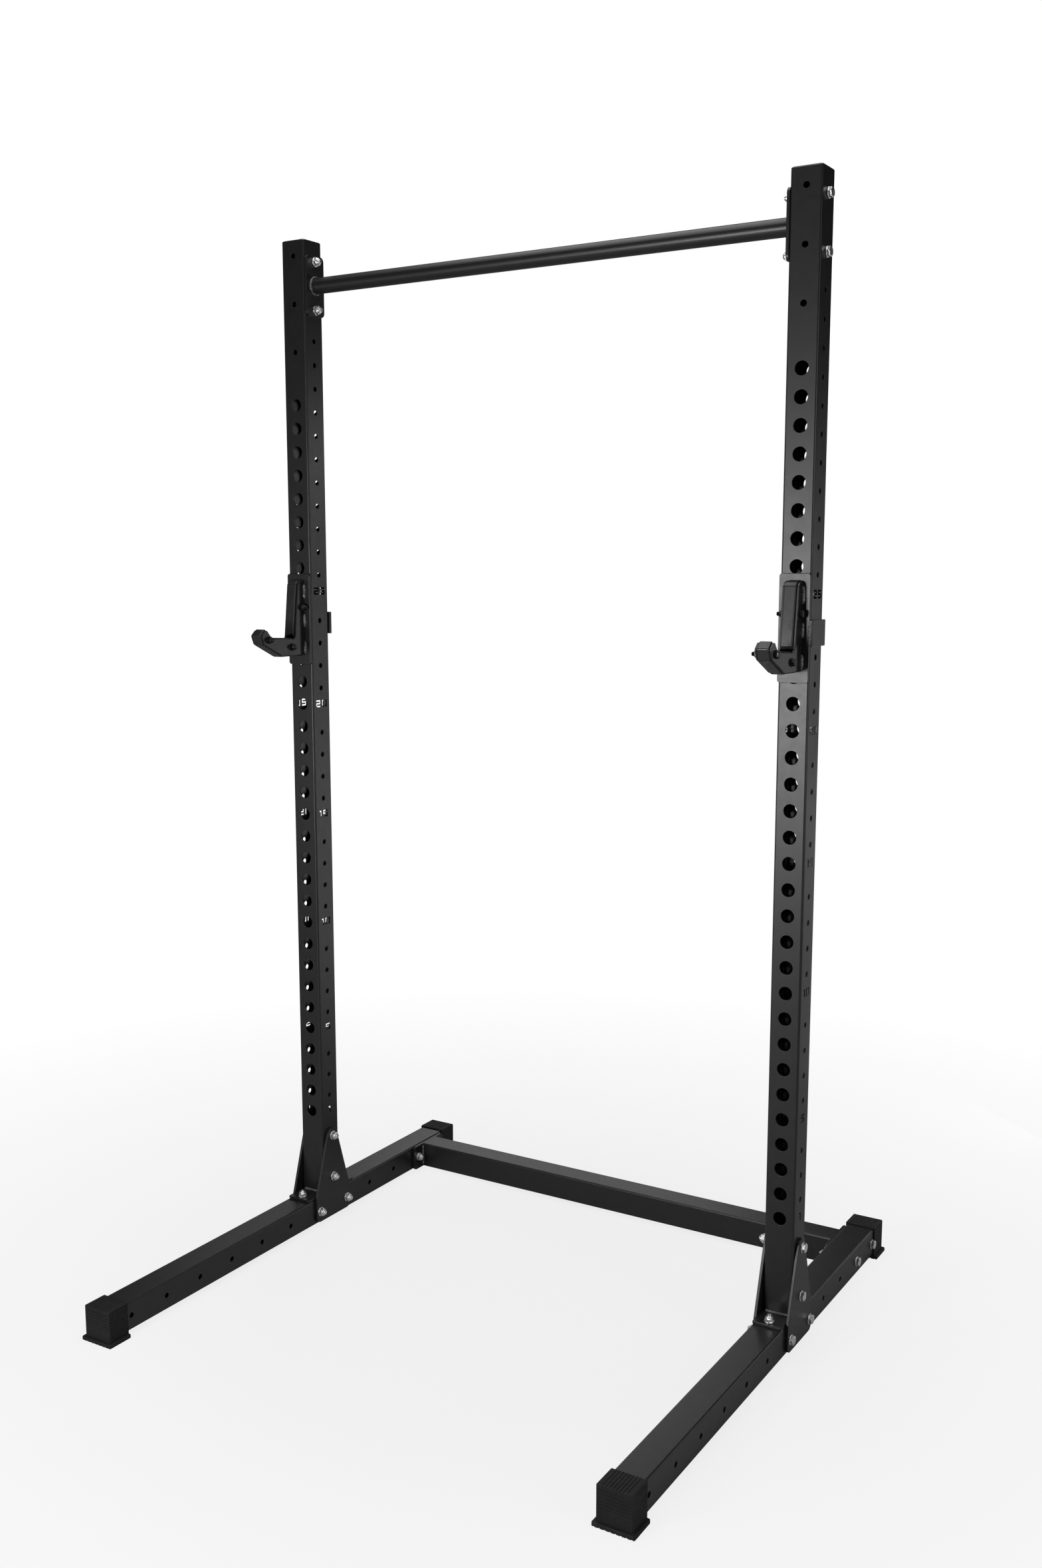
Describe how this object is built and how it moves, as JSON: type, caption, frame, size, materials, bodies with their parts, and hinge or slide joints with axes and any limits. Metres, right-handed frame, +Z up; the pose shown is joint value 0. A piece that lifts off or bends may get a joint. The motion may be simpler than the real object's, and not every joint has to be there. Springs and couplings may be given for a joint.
{
  "type": "squat stand",
  "caption": "Free-standing squat stand: punched square uprights on base tubes joined at the back, a pull-up bar across the top and a plastic-lined J-hook on each upright.",
  "frame": {"origin": "on the floor, at the middle of the footprint", "axes": "+Z up, +X to the right of a person facing the stand from its open front, +Y to the back where the crossmember is"},
  "size_m": [1.245, 1.2406, 2.217],
  "materials": {
    "black_powder_coat": "fine-textured satin black powder coat on steel",
    "zinc_plate": "bright zinc-plated steel fasteners",
    "black_oxide": "dark oiled black-oxide steel fasteners",
    "black_rubber": "matte ribbed moulded rubber",
    "black_plastic": "satin dense plastic with fine machining marks"
  },
  "bodies": {
    "frame": {"left_upright": "black_powder_coat", "left_foot_plate": "black_powder_coat", "left_base_tube": "black_powder_coat", "left_outer_gusset": "black_powder_coat", "left_inner_gusset": "black_powder_coat", "left_front_boot": "black_rubber", "left_rear_boot": "black_rubber", "left_top_cap": "black_plastic", "left_gusset_top_bolt": "zinc_plate", "left_gusset_middle_bolt": "zinc_plate", "left_gusset_front_bolt": "zinc_plate", "left_gusset_rear_bolt": "zinc_plate", "left_bar_lower_bolt": "zinc_plate", "left_bar_upper_bolt": "zinc_plate", "left_crossmember_front_bolt": "zinc_plate", "left_crossmember_rear_bolt": "zinc_plate", "left_foot_plate_front_bolt": "zinc_plate", "left_foot_plate_rear_bolt": "zinc_plate", "right_upright": "black_powder_coat", "right_foot_plate": "black_powder_coat", "right_base_tube": "black_powder_coat", "right_outer_gusset": "black_powder_coat", "right_inner_gusset": "black_powder_coat", "right_front_boot": "black_rubber", "right_rear_boot": "black_rubber", "right_top_cap": "black_plastic", "right_gusset_top_bolt": "zinc_plate", "right_gusset_middle_bolt": "zinc_plate", "right_gusset_front_bolt": "zinc_plate", "right_gusset_rear_bolt": "zinc_plate", "right_bar_lower_bolt": "zinc_plate", "right_bar_upper_bolt": "zinc_plate", "right_crossmember_front_bolt": "zinc_plate", "right_crossmember_rear_bolt": "zinc_plate", "right_foot_plate_front_bolt": "zinc_plate", "right_foot_plate_rear_bolt": "zinc_plate", "rear_crossmember": "black_powder_coat", "pull_up_bar": "black_powder_coat"},
    "left_j_hook": {"left_hook_frame": "black_powder_coat", "left_hook_arm_liner": "black_plastic", "left_hook_lip_liner": "black_plastic", "left_hook_arm_bolt": "black_oxide", "left_hook_lip_bolt": "black_oxide", "left_hook_seat_bolt": "black_oxide"},
    "right_j_hook": {"right_hook_frame": "black_powder_coat", "right_hook_arm_liner": "black_plastic", "right_hook_lip_liner": "black_plastic", "right_hook_arm_bolt": "black_oxide", "right_hook_lip_bolt": "black_oxide", "right_hook_seat_bolt": "black_oxide"}
  },
  "joints": [
    {"name": "left_hook_swing", "type": "hinge", "parent": "frame", "child": "left_j_hook", "pos_m": [-0.5775, 0.07, 1.472], "axis": [0, 1, 0], "range_deg": [0, 90]},
    {"name": "right_hook_swing", "type": "hinge", "parent": "frame", "child": "right_j_hook", "pos_m": [0.5775, 0.07, 1.472], "axis": [0, -1, 0], "range_deg": [0, 90]}
  ]
}
